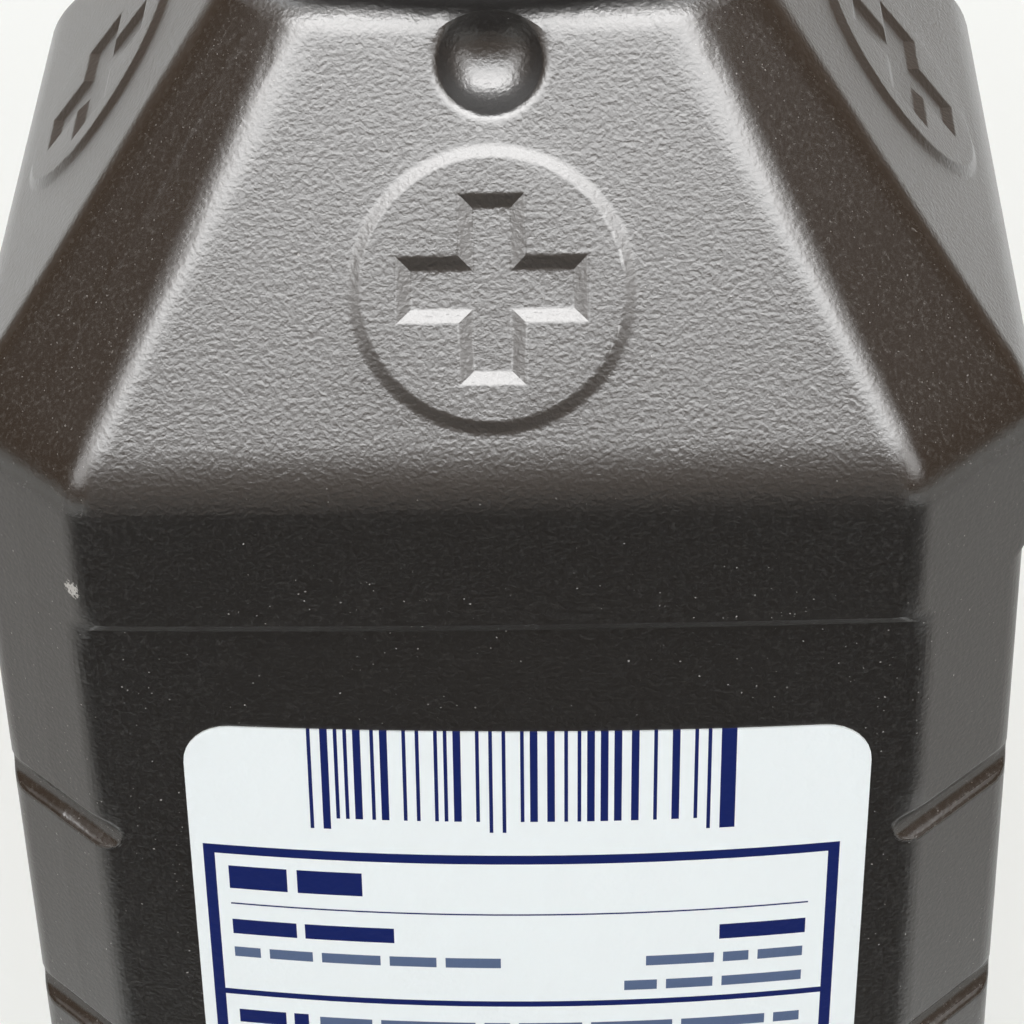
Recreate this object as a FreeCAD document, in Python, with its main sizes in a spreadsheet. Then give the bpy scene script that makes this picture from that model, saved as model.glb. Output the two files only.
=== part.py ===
"""Square first-aid solution bottle with cut corners and a ribbed screw cap, in millimetres.

The bottle stands on Z = 0 with its axis on Z. The panel with the facts label faces -Y.
"""
import FreeCAD, Part
import math
import os

import Sketcher

SHEET = "sizes"

# Driving dimensions: name, value in millimetres (or a count or degrees where it says so), meaning
SIZES = [
    # Body: a square with cut corners
    ("body_half", 31.0, "half width across the label sides"),
    ("corner_reach", 38.5, "distance of the corner flats from the axis"),
    ("edge_round", 3.0, "rounding of the upright edges"),
    ("body_rise", 135.0, "height of the edge where the shoulder starts"),
    ("base_round", 2.8, "rounding of the base edge"),
    ("dish_radius", 19.0, "radius of the pushed-up middle of the base"),
    ("dish_depth", 2.0, "depth of the pushed-up middle of the base"),
    ("dish_slope", 40.0, "degrees by which the wall of the dish leans in"),
    ("wall", 1.0, "wall of the blown shell"),
    ("floor_wall", 1.2, "wall between the inner floor and the dish"),
    # Sunk label panels
    ("panel_margin", 10.0, "plain band above and below a label panel"),
    ("panel_sink", 0.6, "depth of a label panel"),
    ("panel_step", 0.8, "height of the slope round a label panel"),
    # Shoulder: eight sloping faces up to the neck
    ("shoulder_rise", 21.0, "height of the shoulder"),
    ("ledge_width", 1.25, "flat ledge between the collar and the top of a shoulder face"),
    ("ledge_corner", 4.2, "flat ledge between the collar and the top of a corner face"),
    ("shoulder_top_round", 4.0, "rounding between the shoulder faces at their top"),
    ("shoulder_soft", 2.1, "how far the shoulder's edge is eased, below and above it"),
    ("shoulder_steps", 6, "sections that ease the shoulder's edge"),
    ("ledge_round", 3.0, "rounding of the edge round the top of the shoulder"),
    ("shoulder_inset", 0.4, "how far the inner shoulder's top lies inside the outer one's"),
    ("roof_wall", 1.2, "wall under the flat ledge at the top of the shoulder"),
    # Raised disc with a sunk cross on each shoulder face
    ("disc_up", 11.1, "centre of the disc, measured up the slope"),
    ("disc_radius", 8.0, "radius of the disc at its foot"),
    ("disc_raise", 0.3, "height of the disc"),
    ("disc_slope", 66.0, "degrees by which the rim of the disc leans in"),
    ("disc_round", 0.7, "rounding of the rim of the disc"),
    ("cross_span", 10.6, "span of the cross"),
    ("cross_arm", 3.7, "width of an arm of the cross"),
    ("cross_depth", 0.35, "depth of the cross"),
    ("cross_slope", 66.0, "degrees by which the walls of the cross lean in"),
    ("cross_lip", 0.6, "rounding of the upper edge of the cross"),
    ("cross_foot", 0.6, "rounding of the lower edge of the cross"),
    # Round dimple at the top of each shoulder face
    ("dimple_up", 23.8, "centre of the dimple, measured up the slope"),
    ("dimple_radius", 3.4, "radius of the ball that shapes the dimple"),
    ("dimple_depth", 1.9, "depth of the dimple"),
    ("dimple_lip", 0.9, "rounding of the rim of the dimple"),
    # Finger grooves across the corner flats
    ("grip_first", 25.7, "first groove below the shoulder edge"),
    ("grip_pitch", 18.04, "distance between grooves"),
    ("grip_foot", 12.0, "lowest that a groove may lie above the base"),
    ("grip_radius", 1.2, "radius of a groove"),
    ("grip_depth", 0.8, "depth of a groove"),
    ("grip_reach", 24.0, "length of the bar that cuts a groove"),
    ("grip_round", 0.4, "rounding of the edges of a groove"),
    # Neck finish for a 28 mm cap
    ("collar_out", 1.0, "how far the plain collar under the thread stands outside the neck"),
    ("collar_rise", 2.0, "height of the collar"),
    ("collar_round", 0.8, "rounding of the collar's upper edge"),
    ("neck_radius", 12.5, "radius at the root of the thread"),
    ("neck_rise", 17.5, "height of the neck above the collar"),
    ("rim_round", 0.4, "rounding of the rim"),
    ("neck_wall", 1.9, "wall of the neck round the mouth"),
    # Thread: one start, right-handed, six turns to the inch
    ("thread_lead", 4.233, "rise of the thread in one turn"),
    ("thread_turns", 1.5, "turns of thread on the neck and in the cap"),
    ("thread_height", 1.1, "how far the neck's thread stands outside the neck"),
    ("thread_foot", 1.7, "width of a ridge at its foot"),
    ("thread_tip", 0.9, "width of a ridge at its tip"),
    ("thread_top", 2.3, "upper end of the neck's thread below the rim"),
    ("thread_sink", 0.3, "how far a ridge is rooted in its wall"),
    ("thread_mesh", 1.5, "how far the cap's ridge lies below the neck's"),
    ("thread_lag", 0.5, "turns by which the cap's thread starts before the neck's"),
    # Cap, liner and seal
    ("thread_gap", 0.35, "radial clearance between the cap and the neck"),
    ("cap_wall", 1.5, "wall of the cap"),
    ("cap_roof", 1.4, "roof of the cap"),
    ("cap_round", 1.0, "rounding of the cap's upper edge"),
    ("skirt_gap", 0.8, "clearance under the skirt of the cap"),
    ("rib_count", 60, "flutes round the cap"),
    ("rib_radius", 0.5, "radius of a flute"),
    ("rib_stand", 0.12, "how far the middle of a flute stands outside the cap"),
    ("rib_margin", 2.2, "plain band above the flutes"),
    ("liner_gap", 0.55, "clearance between the liner disc and the inside of the cap"),
    ("liner_thick", 1.0, "thickness of the liner disc"),
    ("seal_inset", 0.1, "how far the foil seal lies inside the neck's outer wall"),
    ("seal_thick", 0.15, "thickness of the foil seal"),
    # Paper labels
    ("label_side_gap", 3.95, "bare panel beside a label, on average"),
    ("label_head_gap", 7.0, "bare panel above a label"),
    ("label_foot_gap", 7.0, "bare panel below a label"),
    ("label_round", 2.8, "corner radius of a label"),
    ("label_thick", 0.1, "thickness of a label"),
    ("label_shift", 0.7, "facts label to the right of the middle of its panel"),
    ("label_lean", 0.8, "degrees by which the facts label leans"),
    # Contents
    ("fill_drop", 6.5, "level of the liquid below the ledge"),
    ("fill_gap", 0.1, "clearance between the liquid's solid and the wall"),
]

doc = FreeCAD.newDocument("solution_bottle")
sheet = doc.addObject("Spreadsheet::Sheet", SHEET)
for row, (alias, number, meaning) in enumerate(SIZES, start=1):
    sheet.set(f"A{row}", alias)
    sheet.set(f"B{row}", str(number))
    sheet.setAlias(f"B{row}", alias)
    sheet.set(f"C{row}", meaning)
doc.recompute()

# Heights and slopes that follow from the sheet, as expressions
PANEL_TOP = "(sizes.body_rise - sizes.panel_margin)"
LEDGE = "(sizes.body_rise + sizes.shoulder_rise)"
COLLAR_TOP = f"({LEDGE} + sizes.collar_rise)"
RIM = f"({COLLAR_TOP} + sizes.neck_rise)"
LINER_LOW = f"({RIM} + sizes.seal_thick)"
ROOF_LOW = f"({LINER_LOW} + sizes.liner_thick)"
SKIRT_LOW = f"({COLLAR_TOP} + sizes.skirt_gap)"
CAP_RISE = f"({ROOF_LOW} + sizes.cap_roof - {SKIRT_LOW})"
COLLAR_RADIUS = "(sizes.neck_radius + sizes.collar_out)"
SHOULDER_HALF = f"({COLLAR_RADIUS} + sizes.ledge_width)"
SHOULDER_CORNER = f"({COLLAR_RADIUS} + sizes.ledge_corner)"
BORE_RADIUS = "(sizes.neck_radius - sizes.neck_wall)"
THREAD_CREST = "(sizes.neck_radius + sizes.thread_height)"
CAP_BORE = f"({THREAD_CREST} + sizes.thread_gap)"
CAP_RADIUS = f"({CAP_BORE} + sizes.cap_wall)"
THREAD_LOW = f"({RIM} - sizes.thread_top - sizes.thread_lead * sizes.thread_turns)"
SHOULDER_LEAN = f"atan((sizes.body_half - {SHOULDER_HALF}) / sizes.shoulder_rise)"
PANEL_FACE = "(sizes.body_half - sizes.panel_sink)"
PANEL_HALF = f"(sizes.corner_reach * sqrt(2) - {PANEL_FACE})"
LABEL_HALF = f"({PANEL_HALF} - sizes.label_side_gap)"
LABEL_TOP = f"({PANEL_TOP} - sizes.label_head_gap)"
LABEL_FOOT = "(sizes.panel_margin + sizes.label_foot_gap)"
DIMPLE_STAND = "(sizes.dimple_radius - sizes.dimple_depth)"
DIMPLE_UP = (
    f"(sizes.body_rise + sizes.dimple_up * cos({SHOULDER_LEAN}) + {DIMPLE_STAND} * sin({SHOULDER_LEAN}))"
)
DIMPLE_OUT = (
    f"(sizes.body_half - sizes.dimple_up * sin({SHOULDER_LEAN}) + {DIMPLE_STAND} * cos({SHOULDER_LEAN}))"
)
RIGHT_ANGLE = 90
SIDES = 4
NEAR = 1e-4
CORNERS = [index * RIGHT_ANGLE / 2 for index in range(2 * SIDES)]


def value(expression):
    """Number that an expression on the sheet stands for now."""
    return float(sheet.evalExpression(str(expression)))


def make_body(name):
    return doc.addObject("PartDesign::Body", name)


def origin_feature(body, role):
    return next(part for part in body.Origin.OriginFeatures if part.Role == role)


def make_sketch(body, name, role, place=None, axis=None, angle=None):
    """Sketch on an origin plane, moved by expressions for x, y, z and turned about an axis."""
    sketch = body.newObject("Sketcher::SketchObject", name)
    sketch.AttachmentSupport = [(origin_feature(body, role), "")]
    sketch.MapMode = "FlatFace"
    if axis:
        turn = FreeCAD.Rotation(FreeCAD.Vector(*axis), value(angle))
        sketch.AttachmentOffset = FreeCAD.Placement(FreeCAD.Vector(), turn)
        sketch.setExpression("AttachmentOffset.Rotation.Angle", str(angle))
    for letter, expression in (place or {}).items():
        sketch.setExpression(f"AttachmentOffset.Base.{letter}", expression)
    return sketch


def bind(sketch, index, name, expression):
    sketch.renameConstraint(index, name)
    sketch.setExpression(f"Constraints.{name}", str(expression))


def draw_circle(sketch, radius, along=None):
    """Circle about the sketch's origin, or at a distance along its x axis."""
    middle = FreeCAD.Vector(value(along) if along else 0, 0, 0)
    ring = sketch.addGeometry(Part.Circle(middle, FreeCAD.Vector(0, 0, 1), value(radius)))
    size = sketch.addConstraint(Sketcher.Constraint("Radius", ring, value(radius)))
    bind(sketch, size, "radius", radius)
    if along:
        sketch.addConstraint(Sketcher.Constraint("PointOnObject", ring, 3, -1))
        reach = sketch.addConstraint(Sketcher.Constraint("DistanceX", -1, 1, ring, 3, middle.x))
        bind(sketch, reach, "along", along)
    else:
        sketch.addConstraint(Sketcher.Constraint("Coincident", ring, 3, -1, 1))


def draw_outline(sketch, flats, rounding=None):
    """Closed outline of straight flats, each given as the angle of its normal and its distance.

    Flats that follow each other meet in a corner, which an arc rounds where a rounding is given.
    """
    radius = value(rounding) if rounding else 0.0
    count = len(flats)
    normals = []
    for angle, _ in flats:
        normals.append(FreeCAD.Vector(math.cos(math.radians(angle)), math.sin(math.radians(angle)), 0))
    starts = [None] * count
    ends = [None] * count
    arcs = []
    for index in range(count):
        following = (index + 1) % count
        one, two = normals[index], normals[following]
        turn = one.x * two.y - one.y * two.x
        inset = math.copysign(radius, turn)
        deep = value(flats[index][1]) - inset
        next_deep = value(flats[following][1]) - inset
        across = (deep * two.y - next_deep * one.y) / turn
        along = (next_deep * one.x - deep * two.x) / turn
        middle = FreeCAD.Vector(across, along, 0)
        ends[index] = middle + one * inset
        starts[following] = middle + two * inset
        if rounding:
            circle = Part.Circle(middle, FreeCAD.Vector(0, 0, 1), radius)
            first, last = (ends[index], starts[following]) if turn > 0 else (starts[following], ends[index])
            arcs.append(Part.ArcOfCircle(circle, circle.parameter(first), circle.parameter(last)))
    lines = []
    for start, end in zip(starts, ends):
        lines.append(sketch.addGeometry(Part.LineSegment(start, end)))
    arcs = [sketch.addGeometry(arc) for arc in arcs]
    for index in range(count):
        following = (index + 1) % count
        if rounding:
            hollow = normals[index].cross(normals[following]).z < 0
            first, last = (2, 1) if hollow else (1, 2)
            sketch.addConstraint(Sketcher.Constraint("Tangent", lines[index], 2, arcs[index], first))
            sketch.addConstraint(Sketcher.Constraint("Tangent", arcs[index], last, lines[following], 1))
        else:
            sketch.addConstraint(Sketcher.Constraint("Coincident", lines[index], 2, lines[following], 1))
    for arc in arcs[1:]:
        sketch.addConstraint(Sketcher.Constraint("Equal", arcs[0], arc))
    if rounding:
        index = sketch.addConstraint(Sketcher.Constraint("Radius", arcs[0], radius))
        bind(sketch, index, "rounding", rounding)
    for number, (line, (angle, distance)) in enumerate(zip(lines, flats)):
        if angle % (2 * RIGHT_ANGLE) == 0:
            sketch.addConstraint(Sketcher.Constraint("Vertical", line))
        elif angle % RIGHT_ANGLE == 0:
            sketch.addConstraint(Sketcher.Constraint("Horizontal", line))
        else:
            heading = math.radians((angle + RIGHT_ANGLE + 180) % 360 - 180)
            sketch.addConstraint(Sketcher.Constraint("Angle", line, heading))
        gap = Sketcher.Constraint("Distance", -1, 1, line, value(distance))
        bind(sketch, sketch.addConstraint(gap), f"flat_{number}", distance)


def draw_octagon(body, name, height, half, corner, rounding):
    """Square section with cut corners at a height."""
    sketch = make_sketch(body, name, "XY_Plane", {"z": height})
    flats = []
    for index, angle in enumerate(CORNERS):
        flats.append((angle, corner if index % 2 else half))
    draw_outline(sketch, flats, rounding)
    return sketch


def draw_ridge(body, name, height, foot, tip, start):
    """Section of a thread ridge between two radii, on the plane through the axis at a start angle."""
    sketch = make_sketch(body, name, "XZ_Plane", {"y": height}, (0, 1, 0), start)
    half_foot = value("sizes.thread_foot") / 2
    half_tip = value("sizes.thread_tip") / 2
    corners = [
        FreeCAD.Vector(value(foot), -half_foot, 0),
        FreeCAD.Vector(value(tip), -half_tip, 0),
        FreeCAD.Vector(value(tip), half_tip, 0),
        FreeCAD.Vector(value(foot), half_foot, 0),
    ]
    lines = []
    for index, corner in enumerate(corners):
        lines.append(sketch.addGeometry(Part.LineSegment(corner, corners[(index + 1) % len(corners)])))
    for index, line in enumerate(lines):
        following = lines[(index + 1) % len(lines)]
        sketch.addConstraint(Sketcher.Constraint("Coincident", line, 2, following, 1))
    tip_line, foot_line = lines[1], lines[3]
    for line in (tip_line, foot_line):
        sketch.addConstraint(Sketcher.Constraint("Symmetric", line, 1, line, 2, -1))
    for line, label, radius, width in (
        (tip_line, "tip", tip, "sizes.thread_tip"),
        (foot_line, "foot", foot, "sizes.thread_foot"),
    ):
        reach = Sketcher.Constraint("DistanceX", -1, 1, line, 1, value(radius))
        bind(sketch, sketch.addConstraint(reach), f"{label}_radius", radius)
        length = Sketcher.Constraint("Distance", line, value(width))
        bind(sketch, sketch.addConstraint(length), f"{label}_width", width)
    return sketch


def draw_dimple(body):
    """Half section of a dimple's bowl and rolled lip, on the plane through the middle of the front face."""
    lean = SHOULDER_LEAN
    place = {
        "x": f"sizes.dimple_up * sin({lean}) - sizes.body_half",
        "y": f"sizes.body_rise + sizes.dimple_up * cos({lean})",
    }
    sketch = make_sketch(body, "dimple_section", "YZ_Plane", place, (0, 0, 1), f"{RIGHT_ANGLE} deg - {lean}")
    ball, lip = value("sizes.dimple_radius"), value("sizes.dimple_lip")
    stand = value(DIMPLE_STAND)
    reach = math.sqrt((ball + lip) ** 2 - (stand + lip) ** 2)
    slant = math.atan2(-stand - lip, reach)
    upright = FreeCAD.Vector(0, 0, 1)
    top = FreeCAD.Vector(0, stand, 0)
    bowl_circle = Part.Circle(top, upright, ball)
    lip_circle = Part.Circle(FreeCAD.Vector(reach, -lip, 0), upright, lip)
    bowl = sketch.addGeometry(Part.ArcOfCircle(bowl_circle, -math.pi / 2, slant))
    roll = sketch.addGeometry(Part.ArcOfCircle(lip_circle, math.pi / 2, math.pi + slant))
    corners = [FreeCAD.Vector(reach, 0, 0), FreeCAD.Vector(reach, stand, 0), top]
    corners.append(FreeCAD.Vector(0, stand - ball, 0))
    rise, roof, axis = [
        sketch.addGeometry(Part.LineSegment(first, last)) for first, last in zip(corners, corners[1:])
    ]
    for constraint in (
        ("Tangent", bowl, 2, roll, 2),
        ("Coincident", roll, 1, rise, 1),
        ("Coincident", rise, 2, roof, 1),
        ("Coincident", roof, 2, axis, 1),
        ("Coincident", axis, 2, bowl, 1),
        ("Coincident", bowl, 3, axis, 1),
        ("PointOnObject", axis, 1, -2),
        ("PointOnObject", axis, 2, -2),
        ("PointOnObject", roll, 1, -1),
        ("Vertical", roll, 3, roll, 1),
        ("Vertical", rise),
        ("Horizontal", roof),
    ):
        sketch.addConstraint(Sketcher.Constraint(*constraint))
    bowl_size = Sketcher.Constraint("Radius", bowl, ball)
    bind(sketch, sketch.addConstraint(bowl_size), "bowl", "sizes.dimple_radius")
    lip_size = Sketcher.Constraint("Radius", roll, lip)
    bind(sketch, sketch.addConstraint(lip_size), "lip", "sizes.dimple_lip")
    height = Sketcher.Constraint("DistanceY", -1, 1, axis, 1, stand)
    bind(sketch, sketch.addConstraint(height), "stand", DIMPLE_STAND)
    return sketch


def extrude(body, kind, name, sketch, length, lean=None, **options):
    """Pad or pocket of a sketch, with leaning walls if asked."""
    feature = body.newObject(f"PartDesign::{kind}", name)
    feature.Profile = sketch
    feature.setExpression("Length", length)
    if lean:
        feature.setExpression("TaperAngle", lean)
    for option, setting in options.items():
        setattr(feature, option, setting)
    doc.recompute()
    return feature


def loft(body, name, *sections):
    feature = body.newObject("PartDesign::AdditiveLoft", name)
    feature.Profile = sections[0]
    feature.Sections = list(sections[1:])
    feature.Ruled = True
    doc.recompute()
    return feature


def round_edges(body, name, radius, chosen):
    """Rounding of the edges that a test chooses."""
    base = body.Tip
    edges = []
    for index, edge in enumerate(base.Shape.Edges, start=1):
        if chosen(edge):
            edges.append(f"Edge{index}")
    feature = body.newObject("PartDesign::Fillet", name)
    feature.Base = (base, edges)
    feature.setExpression("Radius", radius)
    doc.recompute()
    return feature


def round_level(body, name, height, radius):
    """Rounding of every edge that lies at one height."""
    level = value(height)

    def is_level(edge):
        box = edge.BoundBox
        return abs(box.ZMin - level) < NEAR and abs(box.ZMax - level) < NEAR

    return round_edges(body, name, radius, is_level)


def round_grips(body, name, radius):
    """Rounding of the edges of the finger grooves, whose faces are bars that lie level."""
    wanted = []
    for face in body.Tip.Shape.Faces:
        surface = face.Surface
        is_bar = surface.TypeId == "Part::GeomCylinder" and abs(surface.Axis.z) < NEAR
        if is_bar and abs(surface.Radius - value("sizes.grip_radius")) < NEAR:
            wanted += face.Edges
    return round_edges(body, name, radius, lambda edge: any(edge.isSame(other) for other in wanted))


def round_slope(body, name, stand, reach, radius):
    """Rounding of the edges that stand off a shoulder face, within a reach of the middle of its disc."""
    lean = math.radians(value(SHOULDER_LEAN))
    level, limit = value(stand), value(reach)
    up = value("sizes.disc_up")
    out = value("sizes.body_half") - up * math.sin(lean)
    rise = value("sizes.body_rise") + up * math.cos(lean)
    marks = []
    for side in range(SIDES):
        turn = FreeCAD.Rotation(FreeCAD.Vector(0, 0, 1), side * RIGHT_ANGLE)
        middle = turn.multVec(FreeCAD.Vector(0, -out, rise))
        normal = turn.multVec(FreeCAD.Vector(0, -math.cos(lean), math.sin(lean)))
        marks.append((middle, normal))

    def is_near(edge):
        points = edge.discretize(3)
        for middle, normal in marks:
            gaps = [point - middle for point in points]
            if all(abs(gap.dot(normal) - level) < NEAR and gap.Length < limit for gap in gaps):
                return True
        return False

    return round_edges(body, name, radius, is_near)


def ring_pattern(body, name, originals, count):
    """Copies of some features, evenly round the axis."""
    feature = body.newObject("PartDesign::PolarPattern", name)
    feature.Originals = originals
    feature.Axis = (origin_feature(body, "Z_Axis"), [""])
    feature.Angle = 360
    feature.setExpression("Occurrences", str(count))
    body.Tip = feature
    doc.recompute()
    return feature


def wind(body, name, sketch):
    """Thread ridge along a right-handed helix."""
    feature = body.newObject("PartDesign::AdditiveHelix", name)
    feature.Profile = sketch
    feature.ReferenceAxis = (origin_feature(body, "Z_Axis"), [""])
    feature.Mode = "pitch-turns-angle"
    feature.setExpression("Pitch", "sizes.thread_lead")
    feature.setExpression("Turns", "sizes.thread_turns")
    feature.LeftHanded = False
    doc.recompute()
    return feature


def slope_sketch(body, name, up, stand="0"):
    """Sketch on the front shoulder face, some way up its slope and standing off it."""
    place = {
        "y": f"sizes.body_rise + {up} * cos({SHOULDER_LEAN}) + {stand} * sin({SHOULDER_LEAN})",
        "z": f"sizes.body_half - {up} * sin({SHOULDER_LEAN}) + {stand} * cos({SHOULDER_LEAN})",
    }
    return make_sketch(body, name, "XZ_Plane", place, (-1, 0, 0), SHOULDER_LEAN)


def ease(start, knee, end, share):
    """Expression for a point on the curve that eases a knee between two lines, at a share of its run."""
    rest = 1 - share
    return f"({rest * rest} * ({start}) + {2 * share * rest} * ({knee}) + {share * share} * ({end}))"


def prism(body, name, low, high, shape):
    """Upright part of the wall between two heights."""
    section = draw_octagon(body, f"{name}_section", low, *shape)
    return extrude(body, "Pad", name, section, f"{high} - {low}")


def slope(body, name, *levels):
    """Sloping part of the wall through sections at several heights."""
    sections = []
    for number, (height, shape) in enumerate(levels):
        sections.append(draw_octagon(body, f"{name}_section_{number}", height, *shape))
    return loft(body, name, *sections)


def shoulder_levels():
    """Heights and sections from the eased edge where the shoulder starts up to the ledge."""
    reach = "sizes.shoulder_soft"
    levels = []
    steps = int(value("sizes.shoulder_steps"))
    for step in range(steps + 1):
        share = step / steps
        height = ease(f"sizes.body_rise - {reach}", "sizes.body_rise", f"sizes.body_rise + {reach}", share)
        shape = []
        for full, top in (("sizes.body_half", SHOULDER_HALF), ("sizes.corner_reach", SHOULDER_CORNER)):
            drawn_in = f"{full} - {reach} * ({full} - {top}) / sizes.shoulder_rise"
            shape.append(ease(full, full, drawn_in, share))
        levels.append((height, (*shape, "sizes.edge_round")))
    levels.append((LEDGE, (SHOULDER_HALF, SHOULDER_CORNER, "sizes.shoulder_top_round")))
    return levels


def outer_form():
    """Outside of the bottle, as a solid."""
    body = make_body("outer_form")
    full = ("sizes.body_half", "sizes.corner_reach", "sizes.edge_round")
    sunk = (PANEL_FACE, "sizes.corner_reach", "sizes.edge_round")
    band_top = "(sizes.panel_margin - sizes.panel_step)"
    band_low = f"({PANEL_TOP} + sizes.panel_step)"
    prism(body, "foot_band", "0", band_top, full)
    round_level(body, "base_edge", "0", "sizes.base_round")
    slope(body, "foot_step", (band_top, full), ("sizes.panel_margin", sunk))
    prism(body, "panels", "sizes.panel_margin", PANEL_TOP, sunk)
    slope(body, "head_step", (PANEL_TOP, sunk), (band_low, full))
    prism(body, "head_band", band_low, "(sizes.body_rise - sizes.shoulder_soft)", full)
    slope(body, "shoulder", *shoulder_levels())
    round_level(body, "ledge_edge", LEDGE, "sizes.ledge_round")

    dish = make_sketch(body, "dish_outline", "XY_Plane")
    draw_circle(dish, "sizes.dish_radius")
    extrude(body, "Pocket", "dish", dish, "sizes.dish_depth", "-sizes.dish_slope", Reversed=True)

    disc_outline = slope_sketch(body, "disc_outline", "sizes.disc_up")
    draw_circle(disc_outline, "sizes.disc_radius")
    disc = extrude(body, "Pad", "disc", disc_outline, "sizes.disc_raise", "-sizes.disc_slope")
    cross_outline = slope_sketch(body, "cross_outline", "sizes.disc_up", "sizes.disc_raise")
    tip, side = "sizes.cross_span / 2", "sizes.cross_arm / 2"
    flats = []
    for quarter in range(SIDES):
        turn = quarter * RIGHT_ANGLE
        flats += [(turn, tip), (turn + RIGHT_ANGLE, side), (turn, side)]
    draw_outline(cross_outline, flats)
    cross = extrude(body, "Pocket", "cross", cross_outline, "sizes.cross_depth", "-sizes.cross_slope")
    ring_pattern(body, "discs", [disc, cross], SIDES)
    round_slope(body, "disc_foot", "0", "sizes.disc_radius + sizes.disc_raise", "sizes.disc_round")
    round_slope(body, "disc_lips", "sizes.disc_raise", "sizes.disc_radius", "sizes.cross_lip")
    floor = "sizes.disc_raise - sizes.cross_depth"
    round_slope(body, "cross_floors", floor, "sizes.cross_span", "sizes.cross_foot")

    dimple = body.newObject("PartDesign::Groove", "dimple")
    dimple.Profile = draw_dimple(body)
    dimple.ReferenceAxis = (dimple.Profile[0], ["V_Axis"])
    doc.recompute()
    ring_pattern(body, "dimples", [dimple], SIDES)

    grip_place = {"y": "sizes.body_rise - sizes.grip_first"}
    grip_outline = make_sketch(body, "grip_outline", "XZ_Plane", grip_place, (0, 1, 0), RIGHT_ANGLE / 2)
    grip_middle = "sizes.corner_reach + sizes.grip_radius - sizes.grip_depth"
    draw_circle(grip_outline, "sizes.grip_radius", grip_middle)
    grip = extrude(body, "Pocket", "grip", grip_outline, "sizes.grip_reach", SideType="Symmetric")
    column = body.newObject("PartDesign::MultiTransform", "grips")
    column.Originals = [grip]
    down = body.newObject("PartDesign::LinearPattern", "grips_down")
    down.Direction = (origin_feature(body, "Z_Axis"), [""])
    down.Reversed = True
    count = "(floor((sizes.body_rise - sizes.grip_first - sizes.grip_foot) / sizes.grip_pitch) + 1)"
    down.setExpression("Length", f"sizes.grip_pitch * ({count} - 1)")
    down.setExpression("Occurrences", count)
    around = body.newObject("PartDesign::PolarPattern", "grips_around")
    around.Axis = (origin_feature(body, "Z_Axis"), [""])
    around.Angle = 360
    around.Occurrences = SIDES
    column.Transformations = [down, around]
    body.Tip = column
    doc.recompute()
    round_grips(body, "grip_edges", "sizes.grip_round")

    collar_outline = make_sketch(body, "collar_outline", "XY_Plane", {"z": f"{LEDGE} - sizes.roof_wall / 2"})
    draw_circle(collar_outline, COLLAR_RADIUS)
    extrude(body, "Pad", "collar", collar_outline, "sizes.roof_wall / 2 + sizes.collar_rise")
    round_level(body, "collar_edge", COLLAR_TOP, "sizes.collar_round")
    neck_outline = make_sketch(body, "neck_outline", "XY_Plane", {"z": COLLAR_TOP})
    draw_circle(neck_outline, "sizes.neck_radius")
    extrude(body, "Pad", "neck", neck_outline, "sizes.neck_rise")
    round_level(body, "rim_edge", RIM, "sizes.rim_round")
    foot = "sizes.neck_radius - sizes.thread_sink"
    ridge = draw_ridge(body, "neck_ridge", THREAD_LOW, foot, THREAD_CREST, 0)
    wind(body, "neck_thread", ridge)
    return body


def inner_form(name, gap):
    """Inside of the bottle up to the rim, drawn in by a gap."""
    body = make_body(name)
    section = (
        f"{PANEL_FACE} - sizes.wall - {gap}",
        f"sizes.corner_reach - sizes.grip_depth - sizes.wall - {gap}",
        "sizes.edge_round - sizes.wall",
    )
    top = (
        f"{SHOULDER_HALF} - sizes.shoulder_inset - {gap}",
        f"{SHOULDER_CORNER} - sizes.shoulder_inset - {gap}",
        "sizes.shoulder_top_round",
    )
    floor = f"(sizes.dish_depth + sizes.floor_wall + {gap})"
    roof = f"({LEDGE} - sizes.roof_wall)"
    floor_section = draw_octagon(body, f"{name}_floor", floor, *section)
    extrude(body, "Pad", f"{name}_body", floor_section, f"sizes.body_rise - {floor}")
    base_section = draw_octagon(body, f"{name}_base", "sizes.body_rise", *section)
    top_section = draw_octagon(body, f"{name}_top", roof, *top)
    loft(body, f"{name}_shoulder", base_section, top_section)
    bore = make_sketch(body, f"{name}_bore", "XY_Plane", {"z": roof})
    draw_circle(bore, f"{BORE_RADIUS} - {gap}")
    extrude(body, "Pad", f"{name}_neck", bore, f"{RIM} - {roof} + sizes.roof_wall")
    return body


def dimple_balls(name, grow):
    """Balls round the dimples at the top of the shoulder faces, grown by a distance."""
    balls = []
    for side in range(SIDES):
        ball = doc.addObject("Part::Sphere", f"{name}_{side}")
        ball.setExpression("Radius", f"sizes.dimple_radius + {grow}")
        ball.setExpression("Placement.Base.x", f"{DIMPLE_OUT} * sin({side * RIGHT_ANGLE})")
        ball.setExpression("Placement.Base.y", f"-{DIMPLE_OUT} * cos({side * RIGHT_ANGLE})")
        ball.setExpression("Placement.Base.z", DIMPLE_UP)
        balls.append(ball)
    group = doc.addObject("Part::MultiFuse", name)
    group.Shapes = balls
    return group


def cut(name, base, tool):
    feature = doc.addObject("Part::Cut", name)
    feature.Base = base
    feature.Tool = tool
    return feature


def bottle():
    """Blown shell: the outside less the inside, with the wall carried round each dimple."""
    cavity = cut("cavity", inner_form("inner_form", "0"), dimple_balls("dimple_walls", "sizes.wall"))
    return cut("bottle", outer_form(), cavity)


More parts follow.
